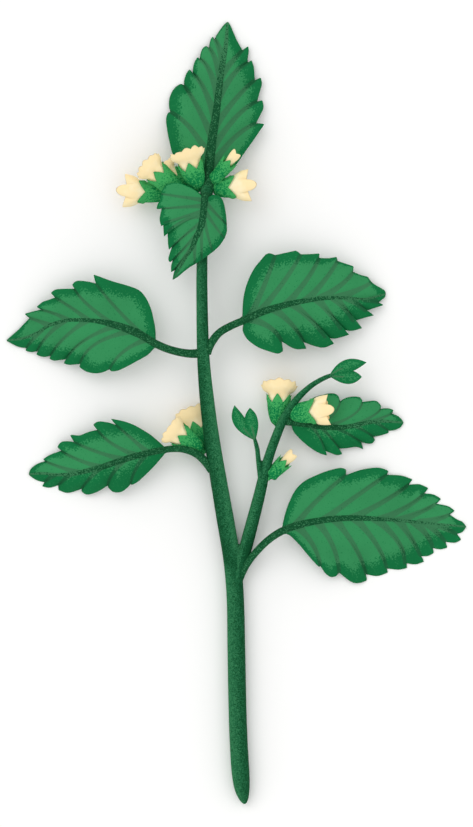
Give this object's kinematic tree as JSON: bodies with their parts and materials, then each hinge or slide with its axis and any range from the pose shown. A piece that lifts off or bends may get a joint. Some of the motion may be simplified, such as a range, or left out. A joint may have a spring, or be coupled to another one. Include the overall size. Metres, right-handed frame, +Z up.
{
  "type": "lemon balm sprig",
  "caption": "Cut, flowering sprig of lemon balm lying flat: branched green stem, toothed leaves and small cream blooms in green calyces.",
  "frame": {"origin": "on the table, under the middle of the sprig's bounding box", "axes": "+Y from the stem's cut end to the top leaf, +Z up from the table, +X to the right seen from above"},
  "size_m": [0.1476, 0.2506, 0.0179],
  "materials": {
    "stem": "matte",
    "leaf": "satin",
    "young_leaf": "satin",
    "calyx": "matte",
    "petal": "matte"
  },
  "bodies": {
    "root": {"stem": "stem", "leaf_lower_right": "leaf", "leaf_upper_right": "leaf", "leaf_upper_left": "leaf", "leaf_lower_left": "leaf", "leaf_branch": "leaf", "leaf_top": "leaf", "leaf_folded": "leaf", "young_leaves_branch": "young_leaf", "young_leaves_twig": "young_leaf", "calyx_top_far_left": "calyx", "corolla_top_far_left": "petal", "calyx_top_left": "calyx", "corolla_top_left": "petal", "calyx_top_left_back": "calyx", "corolla_top_left_back": "petal", "calyx_top_centre": "calyx", "corolla_top_centre": "petal", "calyx_top_right_back": "calyx", "corolla_top_right_back": "petal", "calyx_top_far_right": "calyx", "corolla_top_far_right": "petal", "calyx_left_axil": "calyx", "corolla_left_axil": "petal", "calyx_left_axil_back": "calyx", "corolla_left_axil_back": "petal", "calyx_branch_left": "calyx", "corolla_branch_left": "petal", "calyx_branch_right": "calyx", "corolla_branch_right": "petal", "calyx_branch_low": "calyx", "corolla_branch_low": "petal"}
  },
  "joints": []
}
